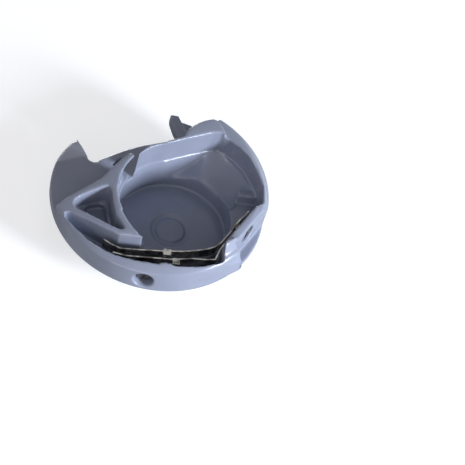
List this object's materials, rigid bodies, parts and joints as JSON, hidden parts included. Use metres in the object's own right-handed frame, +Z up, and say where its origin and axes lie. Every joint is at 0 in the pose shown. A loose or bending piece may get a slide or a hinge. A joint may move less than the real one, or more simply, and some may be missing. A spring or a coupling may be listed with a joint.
{
  "type": "bobbin case",
  "caption": "Round drop-in bobbin case for a sewing machine: moulded case with an open bobbin pocket, a pointed thread arm, two sprung steel leaves and slotted screws.",
  "frame": {"origin": "middle of the flat face under the bobbin pocket, on the pocket's axis", "axes": "+Z up along the bobbin pocket's axis, out of its mouth; -Y towards the front rim with the tension screw; -X towards the pointed arm and the horn"},
  "size_m": [0.04, 0.0399, 0.0139],
  "materials": {
    "case_plastic": "smooth satin blue-grey moulding",
    "spring_steel": "dark polished spring steel",
    "screw_steel": "dark turned steel"
  },
  "bodies": {
    "case": {"case_body": "case_plastic", "fixing_screw": "screw_steel"},
    "tension_leaf": {"tension_leaf": "spring_steel"},
    "guide_leaf": {"guide_leaf": "spring_steel"},
    "tension_screw": {"tension_screw": "screw_steel"}
  },
  "joints": [
    {"name": "tension_leaf_bend", "type": "hinge", "parent": "case", "child": "tension_leaf", "pos_m": [0.01079, -0.00377, 0.0094], "axis": [0, 0, 1], "range_deg": [-1, 0.4], "stiffness_Nm_per_rad": 0.02},
    {"name": "guide_leaf_bend", "type": "hinge", "parent": "case", "child": "guide_leaf", "pos_m": [0.00891, -0.00768, 0.0088], "axis": [0, 0, 1], "range_deg": [-1, 0], "stiffness_Nm_per_rad": 0.02},
    {"name": "tension_screw_turn", "type": "hinge", "parent": "case", "child": "tension_screw", "pos_m": [-0.00531, -0.01442, 0.008], "axis": [-0.1201, -0.9928, 0], "range_deg": [-360, 360]}
  ]
}
